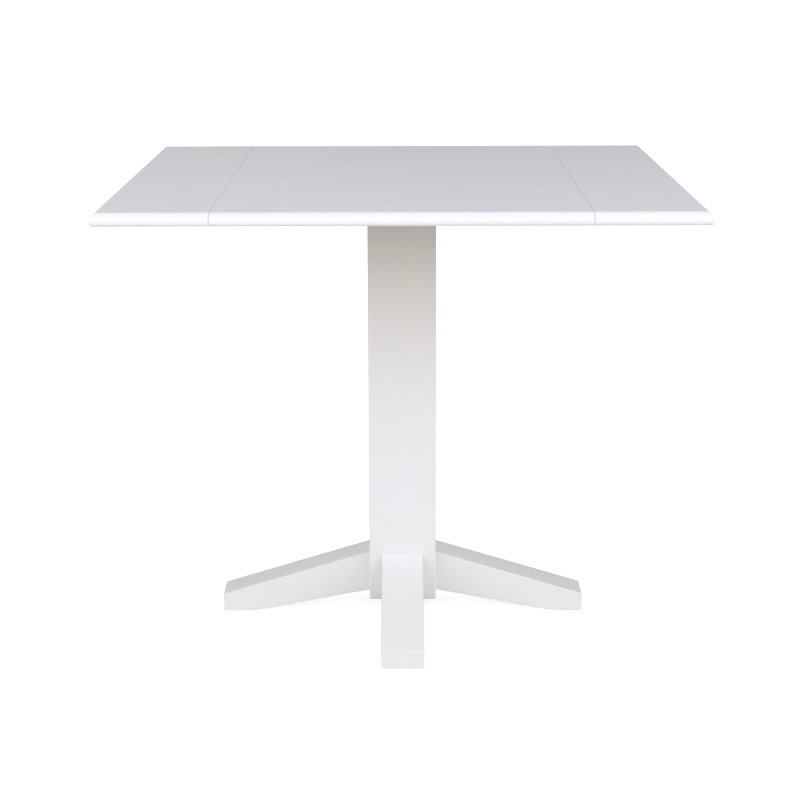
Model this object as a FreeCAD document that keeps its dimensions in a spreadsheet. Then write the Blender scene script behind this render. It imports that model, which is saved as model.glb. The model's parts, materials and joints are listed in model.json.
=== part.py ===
import FreeCAD, Part
import math
import os
import Sketcher

# Square drop leaf table: a fixed centre panel with a leaf hinged on each side, held up by
# friction stays, on a boxed column with four tapered feet in a cross.
# Frame: the origin is on the floor under the column's centre, +Z up, front is -Y, and the
# leaves are at -X and +X. Both leaves are up. Millimetres.

DIMENSIONS = {
    # top
    "TableHeight": 762,        # floor to the top surface
    "TopWidth": 914,           # across both leaves
    "TopDepth": 914,           # front to rear
    "TopThickness": 20,
    "SeamX": 281.5,            # centre plane to the joint between panel and leaf
    "SeamGap": 0.5,            # opening of that joint
    "SeamEase": 0.4,           # chamfer on the joint's edges
    "EdgeInset": 10.5,         # moulded edge: flat top surface to the widest line
    "EdgeShoulder": 14.5,      # moulded edge: top surface down to the widest line
    "EdgeTuck": 3.5,           # moulded edge: underside to the widest line
    # column
    "ColumnSide": 115,
    "ColumnBottom": 29.5,      # gap between the floor and the column
    "BoardThickness": 18,
    "ColumnRadius": 3,
    "BoardEase": 1,
    "BlockHeight": 60,
    # plate and cleats between column and top
    "PlateSide": 260,
    "PlateThickness": 19,
    "PlateCorner": 14,
    "PlateBoltX": 108,
    "PlateScrewX": 24,
    "CleatLength": 480,
    "CleatWidth": 40,
    "CleatThickness": 22,
    "CleatBevel": 12,
    "CleatY": 235,
    "CleatScrewInner": 75,
    "CleatScrewOuter": 205,
    # feet
    "FootReach": 314,          # column's centre to the tip
    "FootWidth": 71,
    "FootTip": 31.5,           # height of the tip
    "FootTop": 109,            # height of the upper face at the column
    "FootUnder": 39.5,         # height of the lower face at the column
    "FootPad": 50,             # length of the flat that bears on the floor
    "FootEase": 1.5,
    "GlideStand": 1,           # how far a glide stands out of its foot
    "GlideRadius": 11,
    "GlideRecess": 2.5,
    "GlideStemRadius": 3,
    "GlideStemLength": 14,
    "GlideRound": 0.8,
    "FootBoltLow": 57,
    "FootBoltHigh": 88,
    # bolts, washers and threaded inserts
    "FootBoltRadius": 4,
    "FootBoltLength": 35,
    "FootBoltFlats": 13,
    "FootBoltHead": 5.3,
    "FootWasherRadius": 8,
    "FootInsertRadius": 6,
    "FootInsertLength": 20,
    "TopBoltRadius": 3,
    "TopBoltLength": 30,
    "TopBoltFlats": 10,
    "TopBoltHead": 4,
    "TopWasherRadius": 9,
    "TopInsertRadius": 4.5,
    "TopInsertLength": 13,
    "WasherThickness": 1.6,
    "BoltClearance": 0.25,
    "BoltPoint": 0.8,          # chamfer at a bolt's end
    # wood screws
    "ScrewRadius": 1.8,
    "ScrewHead": 3.6,
    "ScrewLength": 16,
    "CleatScrewRadius": 2.2,
    "CleatScrewHead": 4.4,
    "CleatScrewLength": 34,
    "PlateScrewRadius": 2.5,
    "PlateScrewHead": 5,
    "PlateScrewLength": 60,
    "ScrewTip": 3.5,
    "ScrewPoint": 0.4,
    "ScrewFit": 0.1,           # between a screw and the metal plate that it holds
    "PilotSpare": 0.3,         # how much deeper than its screw a hole is
    "CrossLength": 3.6,
    "CrossWidth": 0.9,
    "CrossDepth": 1.1,
    # hinges
    "HingeY": 330,
    "HingeLength": 60,
    "HingeReach": 26,          # pin to the plate's outer edge
    "HingeSheet": 2,
    "HingePinRadius": 1.7,
    "HingeDrop": 4.1,          # pin below the underside of the top
    "HingeFit": 0.06,
    "KnuckleHalfGap": 0.15,
    "KnuckleNotch": 0.6,
    "HingeScrewNear": 12,
    "HingeScrewFar": 19,
    "HingeScrewY": 21,
    "HingeCorner": 3,
    "PinHeadRadius": 2.7,
    "PinHead": 0.8,
    # stays
    "StayY": 170,
    "StayOffset": 24,          # stay pivot to hinge pin, inwards and downwards alike
    "StayArm": 136,            # pivot to slide pin
    "StayRise": 12,            # slide pin above the pivot with the leaf up
    "ArmHalfWidth": 8,
    "ArmSheet": 3,
    "StaySheet": 2.5,
    "StaySideGap": 0.5,
    "StayFlange": 21,
    "StayScrewY": 13,          # face of a plate's web to its row of screws
    "BracketTail": 22,
    "BracketNose": 14,
    "BracketRound": 10,
    "BracketScrewTail": 13,    # pivot to the bracket's screws
    "BracketScrewNose": 6,
    "StayBend": 1.5,           # inner radius of a plate's bend
    "StayCorner": 3,
    "RivetRadius": 3,
    "RivetHead": 5.5,
    "RivetHeadThickness": 1.8,
    "RivetRound": 0.9,
    "StayFit": 0.08,
    "SpringWasher": 0.8,
    "SpringWasherGap": 0.3,
    "SpringWasherRim": 0.5,    # how far the washer stands out round its rivet's head
    "SlotFit": 0.1,
    "SlotMargin": 5.5,
    "SlideHalf": 31.5,
    "SlideScrewX": 22,
    "SlidePinGap": 0.4,
}

CUT_MARGIN = 10                # how far a cutting outline runs past the wood
LEAST_CUT = 1e-6               # volume that a cut has to remove
SAME_PLACE = 0.01              # how far apart two equal coordinates may be
COLUMN_SIDES = {"front": 0, "right": 90, "rear": 180, "left": 270}
LEAF_SIDES = {"right": 1, "left": -1}
HINGE_PLACES = {"front": -1, "middle": 0, "rear": 1}
STAY_PLACES = {"front": -1, "rear": 1}
UP = FreeCAD.Vector(0, 0, 1)
FULL_TURN = 360

doc = FreeCAD.newDocument("drop_leaf_table")
sheet = doc.addObject("Spreadsheet::Sheet", "Params")
sub_parts = []


# ---------------------------------------------------------------- sheet and sketches

def fill_sheet():
    for row, (name, value) in enumerate(DIMENSIONS.items(), start=1):
        sheet.set(f"A{row}", name)
        sheet.set(f"B{row}", str(value))
        sheet.setAlias(f"B{row}", name)
    doc.recompute()


def measure(expression):
    """The value of an expression in the sheet's cells."""
    return float(sheet.evalExpression(expression))


def keep(item, label):
    """Mark an object as a sub-part under the name of its file."""
    item.Label = label
    sub_parts.append(item)
    return item


def new_body(name):
    return doc.addObject("PartDesign::Body", name)


def new_sketch(body, plane, offset=None):
    """A sketch on one of the body's own planes, moved along the plane's normal."""
    sketch = body.newObject("Sketcher::SketchObject", "Sketch")
    origin_plane = next(item for item in body.Origin.OriginFeatures if item.Role == plane)
    sketch.AttachmentSupport = [(origin_plane, "")]
    sketch.MapMode = "FlatFace"
    if offset is not None:
        sketch.setExpression("AttachmentOffset.Base.z", offset)
    return sketch


def tie(sketch, kind, places, expression):
    """Add a dimension to the sketch and bind it to an expression."""
    value = float(sketch.evalExpression(expression))
    index = sketch.addConstraint(Sketcher.Constraint(kind, *places, value))
    sketch.setExpression(f"Constraints[{index}]", expression)


def pin_down(sketch, geometry, position, x, y):
    tie(sketch, "DistanceX", (-1, 1, geometry, position), x)
    tie(sketch, "DistanceY", (-1, 1, geometry, position), y)


def short_arc(start, end, radius):
    """An arc of less than half a turn; its centre is on the left for a positive radius."""
    chord = end - start
    reach = math.sqrt(radius ** 2 - (chord.Length / 2) ** 2)
    centre = (start + end) / 2 + UP.cross(chord).normalize() * math.copysign(reach, radius)
    first, last = (start, end) if radius > 0 else (end, start)
    angles = [math.atan2(point.y - centre.y, point.x - centre.x) for point in (first, last)]
    return Part.ArcOfCircle(Part.Circle(centre, UP, abs(radius)), *angles)


def add_outline(sketch, corners):
    """A closed outline. Each corner is (x, y), or (x, y, radius) where an arc leaves it."""
    points = [FreeCAD.Vector(sketch.evalExpression(corner[0]), sketch.evalExpression(corner[1]), 0)
              for corner in corners]
    edges = []
    for index, corner in enumerate(corners):
        start = points[index]
        end = points[(index + 1) % len(points)]
        if len(corner) == 2:
            geometry = sketch.addGeometry(Part.LineSegment(start, end), False)
            edges.append((geometry, 1, 2))
            continue
        radius = float(sketch.evalExpression(corner[2]))
        geometry = sketch.addGeometry(short_arc(start, end, radius), False)
        tie(sketch, "Radius", (geometry,), f"abs({corner[2]})")
        edges.append((geometry, 1, 2) if radius > 0 else (geometry, 2, 1))
    for index, (geometry, start, _end) in enumerate(edges):
        before, _start, before_end = edges[index - 1]
        sketch.addConstraint(Sketcher.Constraint("Coincident", before, before_end, geometry, start))
        pin_down(sketch, geometry, start, corners[index][0], corners[index][1])


def add_circles(sketch, centres, radius):
    for x, y in centres:
        middle = FreeCAD.Vector(sketch.evalExpression(x), sketch.evalExpression(y), 0)
        circle = Part.Circle(middle, UP, float(sketch.evalExpression(radius)))
        geometry = sketch.addGeometry(circle, False)
        tie(sketch, "Radius", (geometry,), radius)
        pin_down(sketch, geometry, 3, x, y)


def box_corners(half_x, half_y):
    """The corners of a rectangle about the sketch's origin."""
    return [(f"-({half_x})", f"-({half_y})"), (half_x, f"-({half_y})"),
            (half_x, half_y), (f"-({half_x})", half_y)]


def round_box_corners(low_x, high_x, low_y, high_y, radius):
    """The corners of a rectangle with rounded corners."""
    return [(f"{low_x} + {radius}", low_y),
            (f"{high_x} - {radius}", low_y, radius),
            (high_x, f"{low_y} + {radius}"),
            (high_x, f"{high_y} - {radius}", radius),
            (f"{high_x} - {radius}", high_y),
            (f"{low_x} + {radius}", high_y, radius),
            (low_x, f"{high_y} - {radius}"),
            (low_x, f"{low_y} + {radius}", radius)]


# ---------------------------------------------------------------- features

def pad(body, sketch, length, symmetric=False, backwards=False):
    feature = body.newObject("PartDesign::Pad", "Pad")
    feature.Profile = sketch
    feature.setExpression("Length", length)
    feature.Reversed = backwards
    if symmetric:
        feature.SideType = "Symmetric"
    doc.recompute()
    return feature


def must_cut(body, before, feature):
    doc.recompute()
    if not feature.Shape.Volume < before - LEAST_CUT:
        raise RuntimeError(f"{body.Name}: {feature.Name} removes nothing")
    return feature


def pocket(body, sketch, depth=None, backwards=False):
    """Cut the sketch out: to a depth, or right through in both directions."""
    before = body.Shape.Volume
    feature = body.newObject("PartDesign::Pocket", "Pocket")
    feature.Profile = sketch
    feature.Reversed = backwards
    if depth is None:
        feature.SideType = "Symmetric"
        feature.Type = "ThroughAll"
    else:
        feature.setExpression("Length", depth)
    return must_cut(body, before, feature)


def countersunk_holes(body, sketch, radius, head, backwards=False):
    """Holes right through, with 90 degree countersinks in the sketch's plane."""
    before = body.Shape.Volume
    feature = body.newObject("PartDesign::Hole", "Hole")
    feature.Profile = sketch
    feature.ThreadType = "None"
    feature.DepthType = "ThroughAll"
    feature.HoleCutType = "Countersink"
    feature.HoleCutCountersinkAngle = 90
    feature.DrillPoint = "Flat"
    feature.setExpression("Diameter", f"2 * ({radius})")
    feature.setExpression("HoleCutDiameter", f"2 * ({head})")
    feature.Reversed = backwards
    return must_cut(body, before, feature)


def edge_names(feature, test):
    names = []
    for index, edge in enumerate(feature.Shape.Edges, start=1):
        if test(edge.BoundBox):
            names.append(f"Edge{index}")
    return names


def fillet(body, base, size, test):
    """Round the edges whose bounding boxes pass the test."""
    feature = body.newObject("PartDesign::Fillet", "Fillet")
    feature.Base = (base, edge_names(base, test))
    feature.setExpression("Radius", size)
    doc.recompute()
    return feature


def chamfer(body, base, size, test):
    """Bevel the edges whose bounding boxes pass the test."""
    feature = body.newObject("PartDesign::Chamfer", "Chamfer")
    feature.Base = (base, edge_names(base, test))
    feature.setExpression("Size", size)
    doc.recompute()
    return feature


def near(first, second):
    return abs(first - second) < SAME_PLACE


def lies_at(box, axis, value):
    """True for an edge that lies in the plane where that coordinate has that value."""
    return near(getattr(box, axis + "Min"), value) and near(getattr(box, axis + "Max"), value)


def place(item, x, y, z, rotation=None):
    if rotation is not None:
        item.Placement = FreeCAD.Placement(FreeCAD.Vector(), rotation)
    item.setExpression("Placement.Base.x", x)
    item.setExpression("Placement.Base.y", y)
    item.setExpression("Placement.Base.z", z)


def about_z(angle):
    return FreeCAD.Rotation(UP, angle)


def half_turn(side):
    """The right-hand pieces, turned half round, are the left-hand ones."""
    return about_z(0 if side > 0 else FULL_TURN / 2)


def group(label, pattern, places):
    """One node that holds a copy of the pattern at each (x, y, z, rotation)."""
    copies = []
    for x, y, z, rotation in places:
        copy = doc.addObject("App::Link", f"{label}_copy")
        copy.LinkedObject = pattern
        place(copy, x, y, z, rotation)
        copies.append(copy)
    compound = doc.addObject("Part::Compound", label)
    compound.Links = copies
    return keep(compound, label)


# ---------------------------------------------------------------- levels and hole places

UNDERSIDE = "Params.TableHeight - Params.TopThickness"
SHOULDER = "Params.TableHeight - Params.EdgeShoulder"
COLUMN_TOP = f"{UNDERSIDE} - Params.PlateThickness"
UPPER_RADIUS = "(Params.EdgeInset^2 + Params.EdgeShoulder^2) / (2 * Params.EdgeInset)"
LOWER_RISE = "(Params.TopThickness - Params.EdgeShoulder)"
LOWER_RADIUS = f"(Params.EdgeTuck^2 + {LOWER_RISE}^2) / (2 * Params.EdgeTuck)"


def turned(side, x, y):
    """A place given for the right-hand side, moved to the given side by a half turn."""
    return f"{side} * ({x})", f"{side} * ({y})"


def hinge_screw_places(side_of_pin):
    """Three screws in a hinge plate, from the pin: two near it and one further out."""
    near_x = f"{side_of_pin} * Params.HingeScrewNear"
    far_x = f"{side_of_pin} * Params.HingeScrewFar"
    return [(near_x, "-Params.HingeScrewY"), (far_x, "0"), (near_x, "Params.HingeScrewY")]


FLANGE_SCREW_Y = "Params.ArmSheet / 2 + Params.StaySideGap + Params.StayScrewY"
SLIDE_X = "sqrt(Params.StayArm^2 - Params.StayRise^2)"
BRACKET_SCREWS = [("-Params.StayOffset - Params.BracketScrewTail", FLANGE_SCREW_Y),
                  ("-Params.StayOffset + Params.BracketScrewNose", FLANGE_SCREW_Y)]
SLIDE_SCREWS = [(f"{SLIDE_X} + {step} * Params.SlideScrewX", FLANGE_SCREW_Y) for step in (-1, 0, 1)]


def seam_screw_places(side, side_of_pin, stay_screws):
    """Every hinge and stay screw along one seam, on the panel (-1) or on the leaf (1)."""
    places = []
    for along in HINGE_PLACES.values():
        for x, y in hinge_screw_places(side_of_pin):
            places.append(turned(side, f"Params.SeamX + {x}", f"{along} * Params.HingeY + {y}"))
    for along in STAY_PLACES.values():
        for x, y in stay_screws:
            places.append(turned(side, f"Params.SeamX + {x}", f"{along} * Params.StayY + {y}"))
    return places


def hinge_and_stay_screws(side, side_of_pin, stay_screws):
    """The same places with the height of each screw's head: flush with its plate."""
    hinge_count = len(HINGE_PLACES) * 3
    places = []
    for index, (x, y) in enumerate(seam_screw_places(side, side_of_pin, stay_screws)):
        sheet_name = "HingeSheet" if index < hinge_count else "StaySheet"
        places.append((x, y, f"{UNDERSIDE} - Params.{sheet_name}", None))
    return places


CLEAT_SCREW_X = ["-Params.CleatScrewOuter", "-Params.CleatScrewInner",
                 "Params.CleatScrewInner", "Params.CleatScrewOuter"]


def square_places(distance):
    return [(f"{x} * {distance}", f"{y} * {distance}") for x in (-1, 1) for y in (-1, 1)]


# ---------------------------------------------------------------- top

def edge_section(half_depth):
    """Section of the top across its two moulded edges."""
    low = UNDERSIDE
    high = "Params.TableHeight"
    return [(f"-{half_depth} + Params.EdgeTuck", low),
            (f"{half_depth} - Params.EdgeTuck", low, LOWER_RADIUS),
            (half_depth, SHOULDER, UPPER_RADIUS),
            (f"{half_depth} - Params.EdgeInset", high),
            (f"-{half_depth} + Params.EdgeInset", high, UPPER_RADIUS),
            (f"-{half_depth}", SHOULDER, LOWER_RADIUS)]


def drill_underside(body, centres, radius, depth):
    sketch = new_sketch(body, "XY_Plane", UNDERSIDE)
    add_circles(sketch, centres, radius)
    pocket(body, sketch, depth, backwards=True)


SCREW_DEPTH = "Params.ScrewLength - Params.HingeSheet + Params.PilotSpare"


def make_top_panel():
    body = new_body("TopPanel")
    section = new_sketch(body, "YZ_Plane")
    add_outline(section, edge_section("Params.TopDepth / 2"))
    slab = pad(body, section, "2 * Params.SeamX - Params.SeamGap", symmetric=True)
    joint_x = measure("SeamX - SeamGap / 2")
    chamfer(body, slab, "Params.SeamEase",
            lambda box: near(abs(box.XMin), joint_x) and near(box.XMin, box.XMax)
            and near(box.ZMin, box.ZMax))
    seam_screws = []
    for side in LEAF_SIDES.values():
        seam_screws += seam_screw_places(side, -1, BRACKET_SCREWS)
    drill_underside(body, seam_screws, "Params.ScrewRadius", SCREW_DEPTH)
    cleat_screws = [(x, f"{y} * Params.CleatY") for x in CLEAT_SCREW_X for y in (-1, 1)]
    drill_underside(body, cleat_screws, "Params.CleatScrewRadius",
                    "Params.CleatScrewLength - Params.CleatThickness + Params.PilotSpare")
    drill_underside(body, square_places("Params.PlateBoltX"), "Params.TopInsertRadius",
                    "Params.TopInsertLength")
    return keep(body, "top_panel")


def make_leaf(name, side):
    body = new_body(f"Leaf_{name}")
    section = new_sketch(body, "YZ_Plane", "Params.SeamX + Params.SeamGap / 2")
    add_outline(section, edge_section("Params.TopDepth / 2"))
    slab = pad(body, section, "Params.TopWidth / 2 - Params.SeamX - Params.SeamGap / 2")
    joint_x = measure("SeamX + SeamGap / 2")
    chamfer(body, slab, "Params.SeamEase",
            lambda box: lies_at(box, "X", joint_x) and near(box.ZMin, box.ZMax))
    waste = new_sketch(body, "XZ_Plane")
    outer = "Params.TopWidth / 2"
    above = f"Params.TableHeight + {CUT_MARGIN}"
    below = f"{UNDERSIDE} - {CUT_MARGIN}"
    add_outline(waste, [(f"{outer} - Params.EdgeTuck", UNDERSIDE, LOWER_RADIUS),
                        (outer, SHOULDER, UPPER_RADIUS),
                        (f"{outer} - Params.EdgeInset", "Params.TableHeight"),
                        (f"{outer} - Params.EdgeInset", above),
                        (f"{outer} + {CUT_MARGIN}", above),
                        (f"{outer} + {CUT_MARGIN}", below),
                        (f"{outer} - Params.EdgeTuck", below)])
    pocket(body, waste)
    drill_underside(body, seam_screw_places(1, 1, SLIDE_SCREWS), "Params.ScrewRadius", SCREW_DEPTH)
    body.Placement = FreeCAD.Placement(FreeCAD.Vector(), half_turn(side))
    return keep(body, f"leaf_{name}")


# ---------------------------------------------------------------- hinges

def knuckle_edge(number):
    """Where a knuckle of five ends along the hinge."""
    return f"({number} / 5 - 0.5) * Params.HingeLength"


def cut_knuckle_room(body, knuckles):
    """Room for the other plate's knuckles."""
    sketch = new_sketch(body, "XY_Plane")
    reach = "(Params.HingePinRadius + Params.HingeSheet + Params.KnuckleNotch)"
    for number in knuckles:
        low = f"{knuckle_edge(number)} - Params.KnuckleHalfGap"
        high = f"{knuckle_edge(number + 1)} + Params.KnuckleHalfGap"
        add_outline(sketch, [(f"-{reach}", low), (reach, low), (reach, high), (f"-{reach}", high)])
    pocket(body, sketch)


def make_hinge_plate(label, side, along, other_knuckles, bore, is_leaf_plate):
    """A sheet with rolled knuckles, drawn to the left of the pin and turned for the leaf."""
    body = new_body(label)
    profile = new_sketch(body, "XZ_Plane")
    roll = "(Params.HingePinRadius + Params.HingeSheet)"
    meet = f"sqrt({roll}^2 - (Params.HingeDrop - Params.HingeSheet)^2)"
    add_outline(profile, [("-Params.HingeReach", "-Params.HingeSheet"),
                          (f"-{meet}", "-Params.HingeSheet", roll),
                          ("0", f"-Params.HingeDrop - {roll}", roll),
                          (roll, "-Params.HingeDrop", roll),
                          ("0", f"-Params.HingeDrop + {roll}"),
                          ("-Params.HingePinRadius", "0"),
                          ("-Params.HingeReach", "0")])
    add_circles(profile, [("0", "-Params.HingeDrop")], bore)
    plate = pad(body, profile, "Params.HingeLength", symmetric=True)
    outer_x = -measure("HingeReach")
    fillet(body, plate, "Params.HingeCorner",
           lambda box: lies_at(box, "X", outer_x) and near(box.YMin, box.YMax))
    cut_knuckle_room(body, other_knuckles)
    screws = new_sketch(body, "XY_Plane", "-Params.HingeSheet")
    add_circles(screws, hinge_screw_places(-1), "Params.ScrewRadius")
    countersunk_holes(body, screws, "Params.ScrewRadius + Params.ScrewFit",
                      "Params.ScrewHead + Params.ScrewFit / 2", backwards=True)
    turn = half_turn(-side if is_leaf_plate else side)
    place(body, f"{side} * Params.SeamX", f"{along} * Params.HingeY", UNDERSIDE, turn)
    return keep(body, label)


def make_hinge_pin_pattern():
    """A headed pin along Y."""
    body = new_body("HingePinPattern")
    half = "Params.HingeLength / 2"
    add_discs(body, "0", "0", [(f"-{half} - Params.PinHead", "Params.PinHead", "Params.PinHeadRadius"),
                               (f"-{half}", "Params.HingeLength", "Params.HingePinRadius"),
                               (half, "Params.PinHead", "Params.PinHeadRadius")])
    return body


def make_hinges():
    for side_name, side in LEAF_SIDES.items():
        for place_name, along in HINGE_PLACES.items():
            label = f"hinge_{side_name}_{place_name}"
            make_hinge_plate(f"{label}_frame_plate", side, along, (1, 3),
                             "Params.HingePinRadius", False)
            make_hinge_plate(f"{label}_leaf_plate", side, along, (0, 2, 4),
                             "Params.HingePinRadius + Params.HingeFit", True)
    pin_level = f"{UNDERSIDE} - Params.HingeDrop"
    places = [(f"{side} * Params.SeamX", f"{along} * Params.HingeY", pin_level, None)
              for side in LEAF_SIDES.values() for along in HINGE_PLACES.values()]
    group("hinge_pins", make_hinge_pin_pattern(), places)


# ---------------------------------------------------------------- stays

# A stay is drawn for the right-hand side, from the point of the underside over the hinge
# pin. Its arm turns with the leaf about a pivot that is StayOffset inside and below the
# hinge pin, so the slide pin runs in the leaf's slot on an arc of that offset's diagonal.

PIVOT_X = "-Params.StayOffset"
PIVOT_Z = "-Params.HingeDrop - Params.StayOffset"
WEB_START = "Params.ArmSheet / 2 + Params.StaySideGap"
WEB_END = f"{WEB_START} + Params.StaySheet"
SLOT_Z = "-Params.HingeDrop + Params.StayRise"
SLIDE_PIN_X = f"{SLIDE_X} - Params.StayOffset"
SLIDE_PIN_Z = f"{PIVOT_Z} + Params.StayRise"


def add_discs(body, x, z, discs):
    """Round steps along Y, each (start, length, radius), about the line at x and z."""
    for start, length, radius in discs:
        sketch = new_sketch(body, "XZ_Plane", f"-({start})")
        add_circles(sketch, [(x, z)], radius)
        pad(body, sketch, length, backwards=True)


def place_stay(body, side, along):
    place(body, f"{side} * Params.SeamX", f"{along} * Params.StayY", UNDERSIDE, half_turn(side))


def bent_plate(body, web_outline, web_hole, flange_low_x, flange_high_x, screws):
    """A sheet bent at a right angle: a web on edge and a flange under the wood."""
    web = new_sketch(body, "XZ_Plane", f"-({WEB_START})")
    add_outline(web, web_outline)
    web_hole(web)
    pad(body, web, "Params.StaySheet", backwards=True)
    flange = new_sketch(body, "XY_Plane")
    far_y = f"{WEB_START} + Params.StayFlange"
    corner = "Params.StayCorner"
    add_outline(flange, [(flange_low_x, WEB_START),
                         (flange_high_x, WEB_START),
                         (flange_high_x, f"{far_y} - {corner}", corner),
                         (f"{flange_high_x} - {corner}", far_y),
                         (f"{flange_low_x} + {corner}", far_y, corner),
                         (flange_low_x, f"{far_y} - {corner}")])
    sheet_metal = pad(body, flange, "Params.StaySheet", backwards=True)
    web_y = measure(WEB_START)
    inner_y = measure(WEB_END)
    inner_z = -measure("Params.StaySheet")
    outer_bend = fillet(body, sheet_metal, "Params.StayBend + Params.StaySheet",
                        lambda box: lies_at(box, "Y", web_y) and lies_at(box, "Z", 0))
    fillet(body, outer_bend, "Params.StayBend",
           lambda box: lies_at(box, "Y", inner_y) and lies_at(box, "Z", inner_z))
    holes = new_sketch(body, "XY_Plane", "-Params.StaySheet")
    add_circles(holes, screws, "Params.ScrewRadius")
    countersunk_holes(body, holes, "Params.ScrewRadius + Params.ScrewFit",
                      "Params.ScrewHead + Params.ScrewFit / 2", backwards=True)


def make_stay_bracket(label, side, along):
    body = new_body(label)
    low_x = f"{PIVOT_X} - Params.BracketTail"
    high_x = f"{PIVOT_X} + Params.BracketNose"
    round_end = "Params.BracketRound"
    web = [(low_x, f"-{round_end}"),
           (f"{PIVOT_X} - {round_end}", PIVOT_Z, round_end),
           (PIVOT_X, f"{PIVOT_Z} - {round_end}", round_end),
           (f"{PIVOT_X} + {round_end}", PIVOT_Z),
           (high_x, f"-{round_end}"),
           (high_x, "0"),
           (low_x, "0")]
    bent_plate(body, web, lambda sketch: add_circles(sketch, [(PIVOT_X, PIVOT_Z)], "Params.RivetRadius"),
               low_x, high_x, BRACKET_SCREWS)
    place_stay(body, side, along)
    return keep(body, label)


def add_slot(sketch):
    """The slide pin's arc, a quarter turn about the slot's centre, as wide as pin and fit."""
    reach = "Params.StayOffset"
    half = "(Params.RivetRadius + Params.SlotFit)"
    step = f"{half} / sqrt(2)"
    diagonal = f"{reach} * sqrt(2)"
    outer = f"{reach} + {step}"
    inner = f"{reach} - {step}"
    low = f"{SLOT_Z} - {reach} - {step}"
    high = f"{SLOT_Z} - {reach} + {step}"
    add_outline(sketch, [(f"{SLIDE_X} - ({outer})", low, f"{diagonal} + {half}"),
                         (f"{SLIDE_X} + {outer}", low, half),
                         (f"{SLIDE_X} + {outer}", high, half),
                         (f"{SLIDE_X} + {inner}", high, f"-({diagonal} - {half})"),
                         (f"{SLIDE_X} - ({inner})", high, half),
                         (f"{SLIDE_X} - ({outer})", high, half)])


def make_stay_slide(label, side, along):
    body = new_body(label)
    low_x = f"{SLIDE_X} - Params.SlideHalf"
    high_x = f"{SLIDE_X} + Params.SlideHalf"
    sweep = "(Params.StayOffset * sqrt(2) + Params.RivetRadius + Params.SlotFit + Params.SlotMargin)"
    corner_z = f"{SLOT_Z} - sqrt({sweep}^2 - Params.SlideHalf^2)"
    web = [(low_x, corner_z, sweep), (high_x, corner_z), (high_x, "0"), (low_x, "0")]
    bent_plate(body, web, add_slot, low_x, high_x, SLIDE_SCREWS)
    place_stay(body, side, along)
    return keep(body, label)


def on_arm(along_arm, across_arm):
    """A point in the arm's own directions, as the sketch's x and z."""
    slope = "Params.StayRise / Params.StayArm"
    level = f"{SLIDE_X} / Params.StayArm"
    return (f"{PIVOT_X} + ({along_arm}) * {level} - ({across_arm}) * {slope}",
            f"{PIVOT_Z} + ({along_arm}) * {slope} + ({across_arm}) * {level}")


def make_stay_arm(label, side, along):
    body = new_body(label)
    sketch = new_sketch(body, "XZ_Plane")
    length = "Params.StayArm"
    half = "Params.ArmHalfWidth"
    add_outline(sketch, [on_arm("0", f"-{half}"),
                         (*on_arm(length, f"-{half}"), half),
                         (*on_arm(f"{length} + {half}", "0"), half),
                         on_arm(length, half),
                         (*on_arm("0", half), half),
                         (*on_arm(f"-{half}", "0"), half)])
    add_circles(sketch, [on_arm("0", "0")], "Params.RivetRadius + Params.StayFit")
    add_circles(sketch, [on_arm(length, "0")], "Params.RivetRadius")
    pad(body, sketch, "Params.ArmSheet", symmetric=True)
    place_stay(body, side, along)
    return keep(body, label)


def round_heads(body, radius):
    """Round the outer rims of a rivet's two heads."""
    base = body.Tip
    low = base.Shape.BoundBox.YMin
    high = base.Shape.BoundBox.YMax
    fillet(body, base, radius, lambda box: lies_at(box, "Y", low) or lies_at(box, "Y", high))


def make_stay_pin(label, side, along):
    body = new_body(label)
    head = "Params.RivetHeadThickness"
    arm_face = "-Params.ArmSheet / 2"
    far_head = f"{WEB_END} + Params.SlidePinGap"
    add_discs(body, SLIDE_PIN_X, SLIDE_PIN_Z,
              [(f"{arm_face} - {head}", head, "Params.RivetHead"),
               (arm_face, f"{far_head} + Params.ArmSheet / 2", "Params.RivetRadius"),
               (far_head, head, "Params.RivetHead")])
    round_heads(body, "Params.RivetRound")
    place_stay(body, side, along)
    return keep(body, label)


WASHER_FACE = "-Params.ArmSheet / 2 - Params.SpringWasherGap - Params.SpringWasher"


def make_pivot_rivet_pattern():
    body = new_body("PivotRivetPattern")
    head = "Params.RivetHeadThickness"
    add_discs(body, PIVOT_X, PIVOT_Z,
              [(f"{WASHER_FACE} - {head}", head, "Params.RivetHead"),
               (WASHER_FACE, f"{WEB_END} - ({WASHER_FACE})", "Params.RivetRadius"),
               (WEB_END, head, "Params.RivetHead")])
    round_heads(body, "Params.RivetRound")
    return body


def make_spring_washer_pattern():
    body = new_body("SpringWasherPattern")
    sketch = new_sketch(body, "XZ_Plane", f"-({WASHER_FACE})")
    add_circles(sketch, [(PIVOT_X, PIVOT_Z)], "Params.RivetHead + Params.SpringWasherRim")
    add_circles(sketch, [(PIVOT_X, PIVOT_Z)], "Params.RivetRadius + Params.StayFit")
    pad(body, sketch, "Params.SpringWasher", backwards=True)
    return body


def make_stays():
    places = []
    for side_name, side in LEAF_SIDES.items():
        for place_name, along in STAY_PLACES.items():
            label = f"stay_{side_name}_{place_name}"
            make_stay_bracket(f"{label}_bracket", side, along)
            make_stay_slide(f"{label}_slide", side, along)
            make_stay_arm(f"{label}_arm", side, along)
            make_stay_pin(f"{label}_pin", side, along)
            places.append((f"{side} * Params.SeamX", f"{along} * Params.StayY", UNDERSIDE,
                           half_turn(side)))
    group("stay_pivot_rivets", make_pivot_rivet_pattern(), places)
    group("stay_spring_washers", make_spring_washer_pattern(), places)


# ---------------------------------------------------------------- screws, bolts and inserts

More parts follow.
